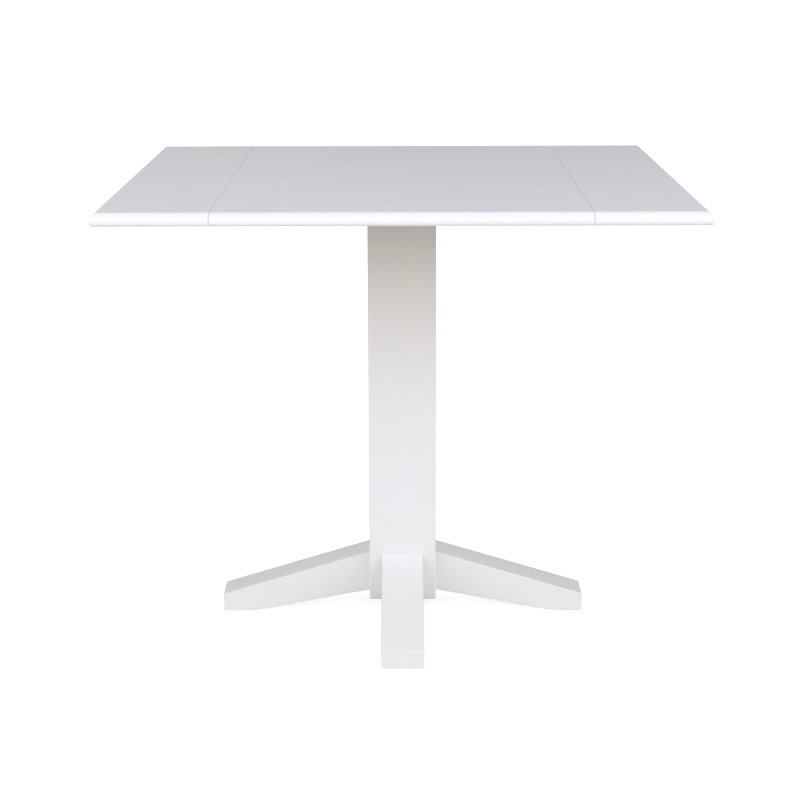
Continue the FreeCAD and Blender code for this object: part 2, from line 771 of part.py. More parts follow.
def make_wood_screw_pattern(name, radius, head, length):
    """A countersunk wood screw along +Z, its head's flat face at the origin."""
    body = new_body(name)
    profile = new_sketch(body, "XZ_Plane")
    add_outline(profile, [("0", "0"),
                          (head, "0"),
                          (radius, f"{head} - {radius}"),
                          (radius, f"{length} - Params.ScrewTip"),
                          ("Params.ScrewPoint", length),
                          ("0", length)])
    turn = body.newObject("PartDesign::Revolution", "Revolution")
    turn.Profile = profile
    turn.ReferenceAxis = (profile, ["V_Axis"])
    turn.Angle = FULL_TURN
    doc.recompute()
    for long_side, short_side in (("CrossLength", "CrossWidth"), ("CrossWidth", "CrossLength")):
        cross = new_sketch(body, "XY_Plane")
        add_outline(cross, box_corners(f"Params.{long_side} / 2", f"Params.{short_side} / 2"))
        pocket(body, cross, "Params.CrossDepth", backwards=True)
    return body


def make_bolt_pattern(name, radius, length, flats, head):
    """A hexagon bolt along +Z, the underside of its head at the origin."""
    body = new_body(name)
    sketch = new_sketch(body, "XY_Plane")
    corners = []
    for step in range(6):
        angle = step * math.tau / 6
        corners.append((f"{math.cos(angle):.6f} * {flats} / sqrt(3)",
                        f"{math.sin(angle):.6f} * {flats} / sqrt(3)"))
    add_outline(sketch, corners)
    pad(body, sketch, head, backwards=True)
    shank = new_sketch(body, "XY_Plane")
    add_circles(shank, [("0", "0")], radius)
    whole = pad(body, shank, length)
    tip_z = measure(length)
    chamfer(body, whole, "Params.BoltPoint", lambda box: lies_at(box, "Z", tip_z))
    return body


def make_ring_pattern(name, inner, outer, length):
    """A washer or an insert along +Z from the origin."""
    body = new_body(name)
    sketch = new_sketch(body, "XY_Plane")
    add_circles(sketch, [("0", "0")], outer)
    add_circles(sketch, [("0", "0")], inner)
    pad(body, sketch, length)
    return body


def make_small_screws():
    screw = make_wood_screw_pattern("SmallScrewPattern", "Params.ScrewRadius", "Params.ScrewHead",
                                    "Params.ScrewLength")
    in_panel = []
    for side in LEAF_SIDES.values():
        in_panel += hinge_and_stay_screws(side, -1, BRACKET_SCREWS)
    group("screws_top", screw, in_panel)
    for name, side in LEAF_SIDES.items():
        group(f"screws_leaf_{name}", screw, hinge_and_stay_screws(side, 1, SLIDE_SCREWS))


# ---------------------------------------------------------------- column and its fixing

def make_column_board(name, angle):
    """One of four mitred boards, drawn as the front one and turned about the column."""
    body = new_body(f"ColumnBoard_{name}")
    section = new_sketch(body, "XY_Plane", "Params.ColumnBottom")
    half = "Params.ColumnSide / 2"
    radius = "Params.ColumnRadius"
    corner = f"({half} - {radius} * (1 - 1 / sqrt(2)))"
    inner = f"({half} - Params.BoardThickness)"
    add_outline(section, [(f"-{half} + {radius}", f"-{half}"),
                          (f"{half} - {radius}", f"-{half}", radius),
                          (corner, f"-{corner}"),
                          (inner, f"-{inner}"),
                          (f"-{inner}", f"-{inner}"),
                          (f"-{corner}", f"-{corner}", radius)])
    board = pad(body, section, f"{COLUMN_TOP} - Params.ColumnBottom")
    bottom_z = measure("ColumnBottom")
    rounding_y = -measure("ColumnSide / 2 - ColumnRadius")
    chamfer(body, board, "Params.BoardEase",
            lambda box: lies_at(box, "Z", bottom_z) and box.YMax < rounding_y)
    holes = new_sketch(body, "XZ_Plane")
    add_circles(holes, [("0", "Params.FootBoltLow"), ("0", "Params.FootBoltHigh")],
                "Params.FootBoltRadius + Params.BoltClearance")
    pocket(body, holes)
    body.Placement = FreeCAD.Placement(FreeCAD.Vector(), about_z(angle))
    return keep(body, f"column_board_{name}")


def make_column_top_block():
    body = new_body("ColumnTopBlock")
    half = "Params.ColumnSide / 2 - Params.BoardThickness"
    sketch = new_sketch(body, "XY_Plane", COLUMN_TOP)
    add_outline(sketch, box_corners(half, half))
    pad(body, sketch, "Params.BlockHeight", backwards=True)
    holes = new_sketch(body, "XY_Plane", COLUMN_TOP)
    add_circles(holes, square_places("Params.PlateScrewX"), "Params.PlateScrewRadius")
    pocket(body, holes, "Params.PlateScrewLength - Params.PlateThickness + Params.PilotSpare")
    return keep(body, "column_top_block")


def make_mounting_plate():
    body = new_body("MountingPlate")
    half = "Params.PlateSide / 2"
    sketch = new_sketch(body, "XY_Plane", COLUMN_TOP)
    add_outline(sketch, round_box_corners(f"-{half}", half, f"-{half}", half, "Params.PlateCorner"))
    pad(body, sketch, "Params.PlateThickness")
    bolts = new_sketch(body, "XY_Plane")
    add_circles(bolts, square_places("Params.PlateBoltX"), "Params.TopBoltRadius + Params.BoltClearance")
    pocket(body, bolts)
    screws = new_sketch(body, "XY_Plane", UNDERSIDE)
    add_circles(screws, square_places("Params.PlateScrewX"), "Params.PlateScrewRadius")
    countersunk_holes(body, screws, "Params.PlateScrewRadius + Params.ScrewFit",
                      "Params.PlateScrewHead + Params.ScrewFit")
    return keep(body, "mounting_plate")


def make_cleat(name, along):
    """A batten across the panel, with its lower ends bevelled."""
    body = new_body(f"Cleat_{name}")
    sketch = new_sketch(body, "XZ_Plane")
    half = "Params.CleatLength / 2"
    low = f"{UNDERSIDE} - Params.CleatThickness"
    add_outline(sketch, [(f"-{half} + Params.CleatBevel", low),
                         (f"{half} - Params.CleatBevel", low),
                         (half, f"{low} + Params.CleatBevel"),
                         (half, UNDERSIDE),
                         (f"-{half}", UNDERSIDE),
                         (f"-{half}", f"{low} + Params.CleatBevel")])
    pad(body, sketch, "Params.CleatWidth", symmetric=True)
    screws = new_sketch(body, "XY_Plane", low)
    add_circles(screws, [(x, "0") for x in CLEAT_SCREW_X], "Params.CleatScrewRadius")
    countersunk_holes(body, screws, "Params.CleatScrewRadius + Params.ScrewFit",
                      "Params.CleatScrewHead + Params.ScrewFit", backwards=True)
    place(body, "0", f"{along} * Params.CleatY", "0")
    return keep(body, f"cleat_{name}")


def make_top_fixings():
    screw = make_wood_screw_pattern("CleatScrewPattern", "Params.CleatScrewRadius",
                                    "Params.CleatScrewHead", "Params.CleatScrewLength")
    low = f"{UNDERSIDE} - Params.CleatThickness"
    group("cleat_screws", screw, [(x, f"{y} * Params.CleatY", low, None)
                                  for x in CLEAT_SCREW_X for y in STAY_PLACES.values()])
    long_screw = make_wood_screw_pattern("PlateScrewPattern", "Params.PlateScrewRadius",
                                         "Params.PlateScrewHead", "Params.PlateScrewLength")
    downwards = FreeCAD.Rotation(FreeCAD.Vector(1, 0, 0), FULL_TURN / 2)
    group("plate_screws", long_screw, [(x, y, UNDERSIDE, downwards)
                                       for x, y in square_places("Params.PlateScrewX")])
    corners = square_places("Params.PlateBoltX")
    washer = make_ring_pattern("TopWasherPattern", "Params.TopBoltRadius + Params.BoltClearance",
                               "Params.TopWasherRadius", "Params.WasherThickness")
    washer_z = f"{COLUMN_TOP} - Params.WasherThickness"
    group("top_bolt_washers", washer, [(x, y, washer_z, None) for x, y in corners])
    bolt = make_bolt_pattern("TopBoltPattern", "Params.TopBoltRadius", "Params.TopBoltLength",
                             "Params.TopBoltFlats", "Params.TopBoltHead")
    group("top_bolts", bolt, [(x, y, washer_z, None) for x, y in corners])
    insert = make_ring_pattern("TopInsertPattern", "Params.TopBoltRadius", "Params.TopInsertRadius",
                               "Params.TopInsertLength")
    group("top_inserts", insert, [(x, y, UNDERSIDE, None) for x, y in corners])


# ---------------------------------------------------------------- feet

def make_foot(name, angle):
    """A tapered plank on edge, drawn towards +X and turned about the column."""
    body = new_body(f"Foot_{name}")
    face_x = "Params.ColumnSide / 2"
    sketch = new_sketch(body, "XZ_Plane")
    add_outline(sketch, [(face_x, "Params.FootUnder"),
                         ("Params.FootReach - Params.FootPad", "Params.GlideStand"),
                         ("Params.FootReach", "Params.GlideStand"),
                         ("Params.FootReach", "Params.FootTip"),
                         (face_x, "Params.FootTop")])
    plank = pad(body, sketch, "Params.FootWidth", symmetric=True)
    joint_x = measure(face_x)
    heel_x = measure("FootReach - FootPad")
    fillet(body, plank, "Params.FootEase",
           lambda box: not lies_at(box, "X", joint_x) and not lies_at(box, "X", heel_x))
    glide_x = "Params.FootReach - Params.FootPad / 2"
    for radius, depth in (("Params.GlideRadius", "Params.GlideRecess"),
                          ("Params.GlideStemRadius", "Params.GlideStemLength")):
        hole = new_sketch(body, "XY_Plane", "Params.GlideStand")
        add_circles(hole, [(glide_x, "0")], radius)
        pocket(body, hole, depth, backwards=True)
    inserts = new_sketch(body, "YZ_Plane", face_x)
    add_circles(inserts, [("0", "Params.FootBoltLow"), ("0", "Params.FootBoltHigh")],
                "Params.FootInsertRadius")
    pocket(body, inserts, "Params.FootInsertLength", backwards=True)
    body.Placement = FreeCAD.Placement(FreeCAD.Vector(), about_z(angle - 90))
    return keep(body, f"foot_{name}")


def make_glide_pattern():
    """A round foot with a stem, along +Z from the floor."""
    body = new_body("GlidePattern")
    profile = new_sketch(body, "XZ_Plane")
    rim = "Params.GlideRound"
    shoulder = "Params.GlideStand + Params.GlideRecess"
    stem_top = "Params.GlideStand + Params.GlideStemLength"
    add_outline(profile, [("0", "0"),
                          (f"Params.GlideRadius - {rim}", "0", rim),
                          ("Params.GlideRadius", rim),
                          ("Params.GlideRadius", shoulder),
                          ("Params.GlideStemRadius", shoulder),
                          ("Params.GlideStemRadius", stem_top),
                          ("0", stem_top)])
    turn = body.newObject("PartDesign::Revolution", "Revolution")
    turn.Profile = profile
    turn.ReferenceAxis = (profile, ["V_Axis"])
    turn.Angle = FULL_TURN
    doc.recompute()
    return body


def around_column(distance, heights, towards_column):
    """Places on all four sides of the column, each with +Z turned along the foot."""
    places = []
    for angle in COLUMN_SIDES.values():
        outward = math.radians(angle - 90)
        x = f"{math.cos(outward):.0f} * ({distance})"
        y = f"{math.sin(outward):.0f} * ({distance})"
        tilt = about_z(angle - 90).multiply(FreeCAD.Rotation(FreeCAD.Vector(0, 1, 0), 90))
        for height in heights:
            places.append((x, y, height, tilt if towards_column else about_z(angle)))
    return places


def make_foot_fixings():
    heights = ["Params.FootBoltLow", "Params.FootBoltHigh"]
    inner_face = "Params.ColumnSide / 2 - Params.BoardThickness"
    head_face = f"{inner_face} - Params.WasherThickness"
    bolt = make_bolt_pattern("FootBoltPattern", "Params.FootBoltRadius", "Params.FootBoltLength",
                             "Params.FootBoltFlats", "Params.FootBoltHead")
    group("foot_bolts", bolt, around_column(head_face, heights, True))
    washer = make_ring_pattern("FootWasherPattern", "Params.FootBoltRadius + Params.BoltClearance",
                               "Params.FootWasherRadius", "Params.WasherThickness")
    group("foot_bolt_washers", washer, around_column(head_face, heights, True))
    insert = make_ring_pattern("FootInsertPattern", "Params.FootBoltRadius", "Params.FootInsertRadius",
                               "Params.FootInsertLength")
    group("foot_inserts", insert, around_column("Params.ColumnSide / 2", heights, True))
    glide_x = "Params.FootReach - Params.FootPad / 2"
    group("foot_glides", make_glide_pattern(), around_column(glide_x, ["0"], False))


# ---------------------------------------------------------------- the whole table

def check_document():
    doc.recompute()
    for item in doc.Objects:
        if "Invalid" in item.State or "Error" in item.State:
            raise RuntimeError(f"{item.Label}: {item.State}")
    for item in sub_parts:
        if item.Shape.isNull() or not item.Shape.isValid() or not item.Shape.Solids:
            raise RuntimeError(f"{item.Label}: shape is not a valid solid")


def export_parts():
    os.makedirs("parts", exist_ok=True)
    for item in sub_parts:
        item.Shape.exportStep(f"parts/{item.Label}.step")


def main():
    fill_sheet()
    make_top_panel()
    for name, side in LEAF_SIDES.items():
        make_leaf(name, side)
    make_hinges()
    make_stays()
    make_small_screws()
    for name, angle in COLUMN_SIDES.items():
        make_column_board(name, angle)
        make_foot(name, angle)
    make_column_top_block()
    make_mounting_plate()
    for name, along in STAY_PLACES.items():
        make_cleat(name, along)
    make_top_fixings()
    make_foot_fixings()
    check_document()
    export_parts()
    print(len(sub_parts), "sub-parts")


main()
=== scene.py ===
import json
import math

import bmesh
import bpy
from mathutils import Matrix, Vector

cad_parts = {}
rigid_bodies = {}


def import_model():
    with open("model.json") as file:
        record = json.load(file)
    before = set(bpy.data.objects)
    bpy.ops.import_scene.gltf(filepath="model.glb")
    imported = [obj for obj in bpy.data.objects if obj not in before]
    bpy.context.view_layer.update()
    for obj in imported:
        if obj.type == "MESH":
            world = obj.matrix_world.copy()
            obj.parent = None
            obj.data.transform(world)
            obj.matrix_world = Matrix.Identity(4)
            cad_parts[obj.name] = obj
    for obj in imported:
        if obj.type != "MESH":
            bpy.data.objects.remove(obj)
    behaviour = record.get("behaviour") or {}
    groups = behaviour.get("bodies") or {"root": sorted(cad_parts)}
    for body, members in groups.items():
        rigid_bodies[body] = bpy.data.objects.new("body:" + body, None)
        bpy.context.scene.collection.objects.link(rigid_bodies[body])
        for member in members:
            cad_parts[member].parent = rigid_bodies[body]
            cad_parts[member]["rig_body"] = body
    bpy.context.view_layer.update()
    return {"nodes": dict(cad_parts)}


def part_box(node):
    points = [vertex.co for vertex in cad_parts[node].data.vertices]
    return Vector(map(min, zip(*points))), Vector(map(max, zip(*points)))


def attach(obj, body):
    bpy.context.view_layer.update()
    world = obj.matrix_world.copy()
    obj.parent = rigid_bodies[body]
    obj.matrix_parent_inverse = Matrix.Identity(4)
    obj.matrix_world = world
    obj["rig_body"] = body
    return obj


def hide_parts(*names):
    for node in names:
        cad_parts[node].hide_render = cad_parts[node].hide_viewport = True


# A square drop leaf table in satin white paint, both leaves up, on a plain white studio
# floor. Metres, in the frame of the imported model: the floor is z = 0 and the front is -Y.
# The top, leaves, column boards, feet, cleats and mounting plate are drawn here again
# with softened edges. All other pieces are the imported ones, with better materials.

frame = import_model()
scene = bpy.context.scene

MM = 0.001
TOP_LOW, TOP_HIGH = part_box("top_panel")
CENTRE = Vector((0, 0, TOP_HIGH.z / 2))
SIDES = {"right": 1, "left": -1}
COLUMN_SIDES = {"front": 0, "right": 90, "rear": 180, "left": 270}


# ---------------------------------------------------------------- camera

CAMERA_PLACE = Vector((0.003, -3.277, 1.163))
CAMERA_DOWN = math.radians(13.57)
CAMERA_YAW = math.radians(0.12)
CAMERA_ROLL = math.radians(-0.15)
LENS = 87.8
SENSOR = 36


def make_camera():
    """Stands in front of the table, a little above its top, and looks slightly down."""
    data = bpy.data.cameras.new("camera")
    data.lens = LENS
    data.sensor_width = SENSOR
    camera = bpy.data.objects.new("camera", data)
    scene.collection.objects.link(camera)
    turn = Matrix.Rotation(CAMERA_YAW, 4, "Z")
    tilt = Matrix.Rotation(math.pi / 2 - CAMERA_DOWN, 4, "X")
    roll = Matrix.Rotation(CAMERA_ROLL, 4, "Z")
    camera.matrix_world = Matrix.Translation(CAMERA_PLACE) @ turn @ tilt @ roll
    scene.camera = camera


# ---------------------------------------------------------------- material nodes

def colour(red, green, blue):
    return (red, green, blue, 1.0)


class Finish:
    """A new material and short ways to add nodes to it."""

    def __init__(self, name):
        self.material = bpy.data.materials.new(name)
        self.material.use_nodes = True
        self.tree = self.material.node_tree
        self.tree.nodes.clear()

    def feed(self, socket, value):
        """Link a socket to an output, or give it a plain value."""
        if isinstance(value, bpy.types.NodeSocket):
            self.tree.links.new(value, socket)
        else:
            socket.default_value = value

    def add(self, kind, inputs, **settings):
        node = self.tree.nodes.new(kind)
        for name, value in settings.items():
            setattr(node, name, value)
        for name, value in inputs.items():
            self.feed(node.inputs[name], value)
        return node

    def own_place(self, squeeze=(1, 1, 1)):
        """The piece's own coordinates in metres; squeezed, a pattern grows longer that way."""
        own = self.add("ShaderNodeTexCoord", {}).outputs["Object"]
        return self.add("ShaderNodeMapping", {"Vector": own, "Scale": squeeze}).outputs["Vector"]

    def own_facing(self):
        """The direction that the surface faces, in the piece's own coordinates."""
        normal = self.add("ShaderNodeTexCoord", {}).outputs["Normal"]
        return self.add("ShaderNodeSeparateXYZ", {"Vector": normal})

    def noise(self, place, scale, detail, roughness=0.5):
        inputs = {"Vector": place, "Scale": scale, "Detail": detail, "Roughness": roughness}
        return self.add("ShaderNodeTexNoise", inputs).outputs["Fac"]

    def spread(self, value, start, end, low, high):
        """As the value goes from start to end, the result goes from low to high."""
        inputs = {"Value": value, "From Min": start, "From Max": end, "To Min": low, "To Max": high}
        return self.add("ShaderNodeMapRange", inputs).outputs["Result"]

    def maths(self, operation, first, second):
        return self.add("ShaderNodeMath", {0: first, 1: second}, operation=operation).outputs[0]

    def mix(self, share, first, second):
        """A colour between two colours; inputs 0, 6 and 7 are the share and the colours."""
        node = self.add("ShaderNodeMix", {0: share, 6: first, 7: second}, data_type="RGBA")
        return node.outputs[2]

    def bump(self, height, depth):
        """Dents and bumps as deep as the height times the depth, in metres."""
        return self.add("ShaderNodeBump", {"Height": height, "Distance": depth}).outputs["Normal"]

    def surface(self, inputs):
        shader = self.add("ShaderNodeBsdfPrincipled", inputs).outputs["BSDF"]
        self.add("ShaderNodeOutputMaterial", {"Surface": shader})
        return self.material


# ---------------------------------------------------------------- paint and wood

PAINT_COOL = colour(0.795, 0.803, 0.825)
PAINT_WARM = colour(0.805, 0.80, 0.79)
WOOD_LIGHT = colour(0.56, 0.38, 0.18)
WOOD_DARK = colour(0.40, 0.25, 0.10)
PAINT_ROUGHNESS = (0.42, 0.52)
WOOD_ROUGHNESS = (0.48, 0.62)
GRAIN_SQUEEZE = 0.05           # how much longer than wide the grain's streaks are
OVERSPRAY = (0.006, 0.03)      # how far the paint mists in over the underside
FACING_DOWN = (-0.99, -0.95)   # from level underside to the start of the rounded rim
BARE_ROUGHNESS = 0.15          # how much rougher bare wood is than paint
NOISE_SPAN = (0.3, 0.7)        # where most of a noise's values lie
PORE_SPAN = (0.35, 0.55)
PORE_SHADE = (0.4, 1.0)
GRAIN_IN_PAINT = 0.7           # how much grain shows next to the orange peel

# Noise patterns: repeats per metre, levels of detail and, unless it is a half, how
# strong the finer levels are. Reliefs are depths in metres.
CLOUDS = (6, 3)
GLOSS_PATCHES = (30, 3)
MIST = (60, 4)
STREAKS = (70, 5, 0.6)
PORES = (900, 2, 0.6)
FIBRES = (420, 4, 0.6)
WOOD_FIBRES = (500, 4, 0.6)
ORANGE_PEEL = (700, 2)
PAINT_RELIEF = 0.00001
WOOD_RELIEF = 0.00003


def along_grain(axis):
    return tuple(GRAIN_SQUEEZE if letter == axis else 1 for letter in "XYZ")


def paint_colour(finish):
    cloud = finish.noise(finish.own_place(), *CLOUDS)
    return finish.mix(finish.spread(cloud, *NOISE_SPAN, 0, 1), PAINT_COOL, PAINT_WARM)


def wood_colour(finish, axis):
    """Broad streaks along the grain with fine dark pores in them."""
    streaks = finish.noise(finish.own_place(along_grain(axis)), *STREAKS)
    pores = finish.noise(finish.own_place(along_grain(axis)), *PORES)
    shade = finish.maths("MULTIPLY", finish.spread(streaks, *NOISE_SPAN, 0, 1),
                         finish.spread(pores, *PORE_SPAN, *PORE_SHADE))
    return finish.mix(shade, WOOD_DARK, WOOD_LIGHT)


def paint_relief(finish, axis):
    """Fine orange peel, and the grain that still shows a little through the paint."""
    peel = finish.noise(finish.own_place(), *ORANGE_PEEL)
    grain = finish.noise(finish.own_place(along_grain(axis)), *FIBRES)
    height = finish.maths("ADD", peel, finish.maths("MULTIPLY", grain, GRAIN_IN_PAINT))
    return finish.bump(height, PAINT_RELIEF)


def paint_roughness(finish):
    patches = finish.noise(finish.own_place(), *GLOSS_PATCHES)
    return finish.spread(patches, *NOISE_SPAN, *PAINT_ROUGHNESS)


def painted_wood(axis):
    finish = Finish(f"white_paint_{axis}")
    return finish.surface({
        "Base Color": paint_colour(finish),
        "Roughness": paint_roughness(finish),
        "Normal": paint_relief(finish, axis),
    })


def painted_top(axis):
    """Paint above and round the edge; below, sealed wood with a mist of paint near the rim."""
    finish = Finish("white_paint_top")
    place = finish.add("ShaderNodeSeparateXYZ", {"Vector": finish.own_place()})
    across = finish.maths("MAXIMUM", finish.maths("ABSOLUTE", place.outputs["X"], 0),
                          finish.maths("ABSOLUTE", place.outputs["Y"], 0))
    from_rim = finish.maths("SUBTRACT", -TOP_LOW.y, across)
    drift = finish.maths("MULTIPLY", finish.noise(finish.own_place(), *MIST), OVERSPRAY[0])
    bare = finish.spread(finish.maths("ADD", from_rim, drift), *OVERSPRAY, 0, 1)
    below = finish.spread(finish.own_facing().outputs["Z"], *FACING_DOWN, 1, 0)
    unpainted = finish.maths("MULTIPLY", bare, below)
    added_roughness = finish.maths("MULTIPLY", unpainted, BARE_ROUGHNESS)
    return finish.surface({
        "Base Color": finish.mix(unpainted, paint_colour(finish), wood_colour(finish, axis)),
        "Roughness": finish.maths("ADD", paint_roughness(finish), added_roughness),
        "Normal": paint_relief(finish, axis),
    })


def sealed_wood(axis):
    finish = Finish(f"sealed_wood_{axis}")
    grain = finish.noise(finish.own_place(along_grain(axis)), *WOOD_FIBRES)
    return finish.surface({
        "Base Color": wood_colour(finish, axis),
        "Roughness": finish.spread(grain, *NOISE_SPAN, *WOOD_ROUGHNESS),
        "Normal": finish.bump(grain, WOOD_RELIEF),
    })


# ---------------------------------------------------------------- metals and nylon

METAL_CLOUDS = (180, 4, 0.6)
SCRATCHES = (2600, 3, 0.7)
SCRATCH_SQUEEZE = (0.08, 1, 0.5)
SCRATCH_ROUGHNESS = (-0.04, 0.06)
SCRATCH_RELIEF = 0.00001
NYLON_CLOUDS = (220, 3)
NYLON_GRAIN = (1500, 2)
NYLON_RELIEF = 0.00002
NYLON_ROUGHNESS = (0.4, 0.55)
NYLON_LIGHT = colour(0.72, 0.70, 0.65)
NYLON_DARK = colour(0.66, 0.64, 0.58)


def worn_metal(name, bright, dull, rough_span):
    """A metal with cloudy patches and fine random scratches, duller where it is cloudy."""
    finish = Finish(name)
    cloud = finish.noise(finish.own_place(), *METAL_CLOUDS)
    scratches = finish.noise(finish.own_place(SCRATCH_SQUEEZE), *SCRATCHES)
    share = finish.spread(cloud, *NOISE_SPAN, 0, 1)
    roughness = finish.maths("ADD", finish.spread(cloud, *NOISE_SPAN, *rough_span),
                             finish.spread(scratches, *NOISE_SPAN, *SCRATCH_ROUGHNESS))
    return finish.surface({
        "Base Color": finish.mix(share, bright, dull),
        "Metallic": 1.0,
        "Roughness": roughness,
        "Normal": finish.bump(scratches, SCRATCH_RELIEF),
    })


def nylon():
    finish = Finish("nylon")
    cloud = finish.noise(finish.own_place(), *NYLON_CLOUDS)
    return finish.surface({
        "Base Color": finish.mix(finish.spread(cloud, *NOISE_SPAN, 0, 1), NYLON_LIGHT, NYLON_DARK),
        "Roughness": finish.spread(cloud, *NOISE_SPAN, *NYLON_ROUGHNESS),
        "Normal": finish.bump(finish.noise(finish.own_place(), *NYLON_GRAIN), NYLON_RELIEF),
    })


FINISHES = {
    "painted_wood": painted_wood("Z"),
    "bare_wood": sealed_wood("Z"),
    "plated_steel": worn_metal("zinc_plate", colour(0.66, 0.67, 0.68), colour(0.50, 0.51, 0.53),
                               (0.28, 0.42)),
    "fastener_steel": worn_metal("bright_steel", colour(0.72, 0.71, 0.68), colour(0.56, 0.55, 0.53),
                                 (0.22, 0.34)),
    "brass": worn_metal("brass", colour(0.80, 0.60, 0.28), colour(0.62, 0.45, 0.20),
                        (0.24, 0.36)),
    "nylon": nylon(),
}


def finish_packed_nodes():
    for node in frame["nodes"].values():
        for index, given in enumerate(node.data.materials):
            node.data.materials[index] = FINISHES[given.name.split(".")[0]]


# ---------------------------------------------------------------- mesh helpers

SMOOTH_ANGLE = math.radians(40)
SAME_PLACE = 0.01 * MM
SAME_POINT = 0.001 * MM
CUTTER_SIDES = 32
CUT_SPARE = 1 * MM             # how far a cutter sticks out of the wood


def arc(centre, radius, start, end, steps):
    """Points on an arc in a plane, angles in radians, both ends included."""
    return [(centre[0] + radius * math.cos(start + (end - start) * step / steps),
             centre[1] + radius * math.sin(start + (end - start) * step / steps))
            for step in range(steps + 1)]


def softened(before, corner, after, size, steps):
    """A small curve in place of a corner, leaving it by the size on both sides."""
    corner = Vector(corner)
    first = corner + (Vector(before) - corner).normalized() * size
    last = corner + (Vector(after) - corner).normalized() * size
    shares = [step / steps for step in range(steps + 1)]
    return [tuple(first * (1 - share) ** 2 + corner * 2 * share * (1 - share) + last * share ** 2)
            for share in shares]


def prism(outline, axis, low, high):
    """A solid with the outline as its section: (x, y) along Z, (y, z) along X, (x, z) along Y."""
    order = {"Z": (0, 1, 2), "X": (1, 2, 0), "Y": (0, 2, 1)}[axis]
    solid = bmesh.new()
    rings = []
    for level in (low, high):
        ring = []
        for point in outline:
            place = [0, 0, 0]
            for index, value in zip(order, (*point, level)):
                place[index] = value
            ring.append(solid.verts.new(place))
        rings.append(ring)
    solid.faces.new(rings[0])
    solid.faces.new(rings[1])
    for index in range(len(outline)):
        following = (index + 1) % len(outline)
        solid.faces.new((rings[0][index], rings[0][following],
                         rings[1][following], rings[1][index]))
    bmesh.ops.recalc_face_normals(solid, faces=solid.faces)
    return solid


def ease(solid, size, steps, chosen):
    """Round the edges whose two ends pass the test."""
    edges = [edge for edge in solid.edges if chosen(edge.verts[0].co, edge.verts[1].co)]
    bmesh.ops.bevel(solid, geom=edges, offset=size, offset_type="OFFSET", segments=steps,
                    profile=0.5, affect="EDGES", clamp_overlap=True)


def same(first, second):
    return abs(first - second) < SAME_PLACE


def object_from(solid, name):
    mesh = bpy.data.meshes.new(name)
    solid.to_mesh(mesh)
    solid.free()
    piece = bpy.data.objects.new(name, mesh)
    scene.collection.objects.link(piece)
    return piece


def turned_cutter(solid, place, direction, steps):
    """Add a turned shape along a direction; steps are (distance, radius) pairs."""
    turn = Vector(direction).to_track_quat("Z", "Y")
    rings = []
    for distance, radius in steps:
        ring = [(radius * math.cos(math.tau * side / CUTTER_SIDES),
                 radius * math.sin(math.tau * side / CUTTER_SIDES), distance)
                for side in range(CUTTER_SIDES)]
        rings.append([solid.verts.new(Vector(place) + turn @ Vector(point)) for point in ring])
    solid.faces.new(reversed(rings[0]))
    solid.faces.new(rings[-1])
    for lower, upper in zip(rings, rings[1:]):
        for side in range(CUTTER_SIDES):
            following = (side + 1) % CUTTER_SIDES
            solid.faces.new((lower[side], lower[following], upper[following], upper[side]))


def straight(radius, depth):
    """The steps of a plain round hole."""
    return [(-CUT_SPARE, radius), (depth, radius)]


def bore(piece, holes):
    """Cut turned holes out of a piece; holes are (place, direction, steps)."""
    solid = bmesh.new()
    for hole in holes:
        turned_cutter(solid, *hole)
    cutter = object_from(solid, "cutter")
    modifier = piece.modifiers.new("bores", "BOOLEAN")
    modifier.object = cutter
    modifier.solver = "EXACT"
    evaluated = piece.evaluated_get(bpy.context.evaluated_depsgraph_get())
    bored = bpy.data.meshes.new_from_object(evaluated)
    piece.modifiers.clear()
    piece.data = bored
    bpy.data.objects.remove(cutter)


def separate_boxes(node):
    """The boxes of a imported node's separate solids, as (low corner, high corner)."""
    solid = bmesh.new()
    solid.from_mesh(frame["nodes"][node].data)
    bmesh.ops.remove_doubles(solid, verts=solid.verts, dist=SAME_POINT)
    boxes = []
    unseen = set(solid.verts)
    while unseen:
        todo = [unseen.pop()]
        found = []
        while todo:
            vertex = todo.pop()
            found.append(vertex.co.copy())
            for edge in vertex.link_edges:
                other = edge.other_vert(vertex)
                if other in unseen:
                    unseen.remove(other)
                    todo.append(other)
        boxes.append((Vector([min(point[axis] for point in found) for axis in range(3)]),
                      Vector([max(point[axis] for point in found) for axis in range(3)])))
    solid.free()
    return boxes


def finish_piece(piece, node, material):
    """Shade the piece smoothly and let it stand for its node, on that node's body."""
    mesh = piece.data
    mesh.materials.clear()
    mesh.materials.append(material)
    mesh.polygons.foreach_set("use_smooth", [True] * len(mesh.polygons))
    mesh.set_sharp_from_angle(angle=SMOOTH_ANGLE)
    weighted = piece.modifiers.new("flat faces stay flat", "WEIGHTED_NORMAL")
    weighted.keep_sharp = True
    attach(piece, frame["nodes"][node]["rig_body"])
    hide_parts(node)


# ---------------------------------------------------------------- top and leaves

EDGE_INSET = 10.5 * MM         # flat top surface to the widest line
EDGE_SHOULDER = 14.5 * MM      # top surface down to the widest line
EDGE_TUCK = 3.5 * MM           # underside to the widest line
EDGE_STEPS = 12
ARRIS = 0.6 * MM               # how far a sanded edge is rounded back
ARRIS_STEPS = 3
SEAM_EASE = 0.3 * MM           # the same along the two seams, where the boards meet
SEAM_STEPS = 3
CORNER_RADIUS = 3 * MM         # the leaf's corner at its widest line
CORNER_STEPS = 6
SCREW_SPARE = 0.3 * MM
SCREW_RADIUS = 1.8 * MM
CLEAT_SCREW_RADIUS = 2.2 * MM
TOP_INSERT_RADIUS = 4.5 * MM


